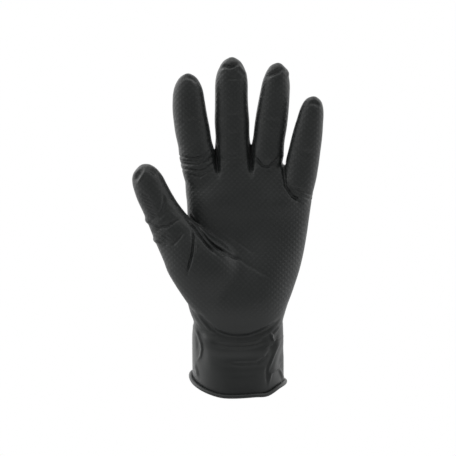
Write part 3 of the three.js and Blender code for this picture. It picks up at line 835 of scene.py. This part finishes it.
def rim_roll(out, half_width, half_height):
    """A body of oval section along the rim."""
    rim = rim_line(out)
    along = np.roll(rim, -1, axis=0) - np.roll(rim, 1, axis=0)
    outward = np.stack([along[:, 1], -along[:, 0], np.zeros(len(rim))], axis=1)
    outward /= np.linalg.norm(outward, axis=1)[:, None]
    round_it = 2 * np.pi * (np.arange(BEAD_SIDES) + 0.5) / BEAD_SIDES
    up = np.array([0, 0, 1.0])
    rings = (rim[:, None] + half_width * outward[:, None] * np.sin(round_it)[:, None]
             + half_height * up * np.cos(round_it)[:, None])
    return loft(rings, loop=True)


def make_camera():
    """The camera of the reference view."""
    forward = Vector(camera_axes()[2])
    camera = bpy.data.objects.new("camera", bpy.data.cameras.new("camera"))
    camera.data.sensor_width = SENSOR_WIDTH
    camera.data.lens = SENSOR_WIDTH * FOCAL_PIXELS / IMAGE_PIXELS
    camera.data.clip_start = 0.05
    camera.location = (Vector(CAMERA_TARGET) - forward * CAMERA_DISTANCE) * MM
    camera.rotation_euler = forward.to_track_quat("-Z", "Y").to_euler()
    bpy.context.scene.collection.objects.link(camera)
    bpy.context.scene.camera = camera


def math_node(tree, operation, *inputs):
    """A math node's output. Each input is a number or another node's output."""
    node = tree.nodes.new("ShaderNodeMath")
    node.operation = operation
    for socket, value in zip(node.inputs, inputs):
        if isinstance(value, (int, float)):
            socket.default_value = value
        else:
            tree.links.new(value, socket)
    return node.outputs[0]


def map_range(tree, value, low, high, to_low, to_high):
    """A smooth step of a value between two limits."""
    node = tree.nodes.new("ShaderNodeMapRange")
    node.interpolation_type = "SMOOTHSTEP"
    tree.links.new(value, node.inputs[0])
    for socket, number in zip(node.inputs[1:5], (low, high, to_low, to_high)):
        socket.default_value = number
    return node.outputs[0]


def noise_texture(tree, where, scale, detail):
    """A noise texture's value."""
    node = tree.nodes.new("ShaderNodeTexNoise")
    tree.links.new(where, node.inputs["Vector"])
    node.inputs["Scale"].default_value = scale
    node.inputs["Detail"].default_value = detail
    return node.outputs[0]


def grip_lattice(tree, place, normal):
    """Raised diamonds in staggered rows, laid on from the front and from the sides."""
    across = math_node(tree, "MULTIPLY", place[0], 2 * math.pi / GRIP_PITCH)
    deep = math_node(tree, "MULTIPLY", place[1], 2 * math.pi / GRIP_PITCH)
    up = math_node(tree, "COSINE", math_node(tree, "MULTIPLY", place[2], math.pi / GRIP_ROW))
    from_front = math_node(tree, "MULTIPLY", math_node(tree, "COSINE", across), up)
    from_side = math_node(tree, "MULTIPLY", math_node(tree, "COSINE", deep), up)
    side = map_range(tree, math_node(tree, "ABSOLUTE", normal[0]), 0.6, 0.8, 0, 1)
    mix = tree.nodes.new("ShaderNodeMix")
    for place_in_mix, value in ((0, side), (2, from_front), (3, from_side)):
        tree.links.new(value, mix.inputs[place_in_mix])
    return map_range(tree, mix.outputs[0], -0.1, 0.7, 0, 1)


def film_material():
    """The dark nitrile film: satin, with a grip lattice on the hand, smoother on the cuff, a painted
    highlight on the raised diamonds and random dusty patches.
    """
    material = bpy.data.materials.new("nitrile_film")
    material.use_nodes = True
    tree = material.node_tree
    shader = tree.nodes["Principled BSDF"]
    where = tree.nodes.new("ShaderNodeTexCoord").outputs["Object"]
    parts = []
    for source in (where, tree.nodes.new("ShaderNodeNewGeometry").outputs["Normal"]):
        split = tree.nodes.new("ShaderNodeSeparateXYZ")
        tree.links.new(source, split.inputs[0])
        parts.append(split.outputs)
    place, normal = parts

    hand = map_range(tree, place[2], HAND_START - 0.004, HAND_START + 0.006, 0, 1)
    diamonds = math_node(tree, "MULTIPLY", grip_lattice(tree, place, normal), hand)
    grain = noise_texture(tree, where, GRAIN_SCALE, 2)
    patches = noise_texture(tree, where, PATCH_SCALE, 3)

    colour = tree.nodes.new("ShaderNodeMix")
    colour.data_type = "RGBA"
    colour.inputs[6].default_value = (*DARK_FILM, 1)
    colour.inputs[7].default_value = (*DOT_HIGHLIGHT_AND_DUST_FILM, 1)
    # Lighter on the raised diamonds as a painted highlight, and in random patches as dust.
    dot_highlight_and_dust = math_node(tree, "ADD", math_node(tree, "MULTIPLY", diamonds, 0.6),
                     map_range(tree, patches, 0.35, 0.7, 0, 0.4))
    tree.links.new(dot_highlight_and_dust, colour.inputs[0])
    tree.links.new(colour.outputs[2], shader.inputs["Base Color"])

    satin = map_range(tree, hand, 0, 1, CUFF_ROUGHNESS, HAND_ROUGHNESS)
    uneven = map_range(tree, patches, 0.3, 0.7, -0.04, 0.04)
    tree.links.new(math_node(tree, "ADD", satin, uneven), shader.inputs["Roughness"])

    height = math_node(tree, "ADD", math_node(tree, "MULTIPLY", diamonds, GRIP_HEIGHT),
                       math_node(tree, "MULTIPLY", grain, GRAIN_HEIGHT))
    bump = tree.nodes.new("ShaderNodeBump")
    bump.inputs["Strength"].default_value = 1
    bump.inputs["Distance"].default_value = 1
    tree.links.new(height, bump.inputs["Height"])
    tree.links.new(bump.outputs[0], shader.inputs["Normal"])
    shader.inputs["Sheen Weight"].default_value = SHEEN
    shader.inputs["Sheen Roughness"].default_value = SHEEN_ROUGHNESS
    return material


def make_floor():
    """A pale floor well below the glove, which is held up."""
    bpy.ops.mesh.primitive_circle_add(vertices=96, radius=FLOOR_RADIUS, fill_type="NGON",
                                      location=(0, 0, FLOOR_HEIGHT))
    floor = bpy.context.object
    floor.name = "floor"
    material = bpy.data.materials.new("pale_floor")
    material.use_nodes = True
    shader = material.node_tree.nodes["Principled BSDF"]
    shader.inputs["Base Color"].default_value = (FLOOR_GREY, FLOOR_GREY, FLOOR_GREY, 1)
    shader.inputs["Roughness"].default_value = FLOOR_ROUGHNESS
    floor.data.materials.append(material)


def make_world():
    """A white studio: bright behind the glove and at its sides, dimmer in front of it."""
    world = bpy.data.worlds.new("studio")
    world.use_nodes = True
    tree = world.node_tree
    direction = tree.nodes.new("ShaderNodeTexCoord").outputs["Generated"]
    split = tree.nodes.new("ShaderNodeSeparateXYZ")
    tree.links.new(direction, split.inputs[0])
    lit = map_range(tree, split.outputs[1], -0.75, 0.25, FRONT_LIGHT, BACK_LIGHT)
    top = map_range(tree, split.outputs[2], -0.3, 0.9, LOW_LIGHT, HIGH_LIGHT)
    left = map_range(tree, split.outputs[0], -0.95, -0.1, LEFT_LIGHT, 1)
    right = map_range(tree, split.outputs[0], 0.5, 0.95, 1, RIGHT_LIGHT)
    sides = math_node(tree, "MULTIPLY", left, right)
    strength = math_node(tree, "MULTIPLY", math_node(tree, "MULTIPLY", lit, top), sides)
    shown = tree.nodes.new("ShaderNodeMix")
    tree.links.new(tree.nodes.new("ShaderNodeLightPath").outputs["Is Camera Ray"], shown.inputs[0])
    tree.links.new(strength, shown.inputs[2])
    shown.inputs[3].default_value = 1
    tree.links.new(shown.outputs[0], tree.nodes["Background"].inputs[1])
    tree.nodes["Background"].inputs[0].default_value = (1, 1, 1, 1)
    bpy.context.scene.world = world


make_camera()

glove = form("glove_film", 0, OUTER_VOXEL)
fold_film(glove.data)
triangles = 2 * len(glove.data.polygons)
apply_modifier(glove, "DECIMATE", ratio=OUTER_TRIANGLES / triangles)
hollow = form("hollow", WALL, HOLLOW_VOXEL)
fold_film(hollow.data, spare=FOLD_SPARE)
bead = mesh_object("bead", [rim_roll(BEAD_OUT, BEAD_DIAMETER / 2, BEAD_DIAMETER / 2)])
rolled_edge = mesh_object("rolled_edge", [rim_roll(BEAD_OUT / 2, BEAD_OUT, WALL / 2)])
apply_modifier(glove, "BOOLEAN", object=hollow, operation="DIFFERENCE", solver="MANIFOLD")
apply_modifier(glove, "BOOLEAN", object=rolled_edge, operation="UNION", solver="MANIFOLD")
apply_modifier(glove, "BOOLEAN", object=bead, operation="UNION", solver="MANIFOLD")
for tool in (hollow, bead, rolled_edge):
    bpy.data.objects.remove(tool)
glove.data.transform(Matrix.Scale(MM, 4))
glove.data.polygons.foreach_set("use_smooth", np.ones(len(glove.data.polygons), bool))
glove.data.materials.clear()
glove.data.materials.append(film_material())
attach(glove, "root")
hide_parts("glove")

scene = bpy.context.scene
scene.view_settings.view_transform = "Standard"
make_world()
make_floor()
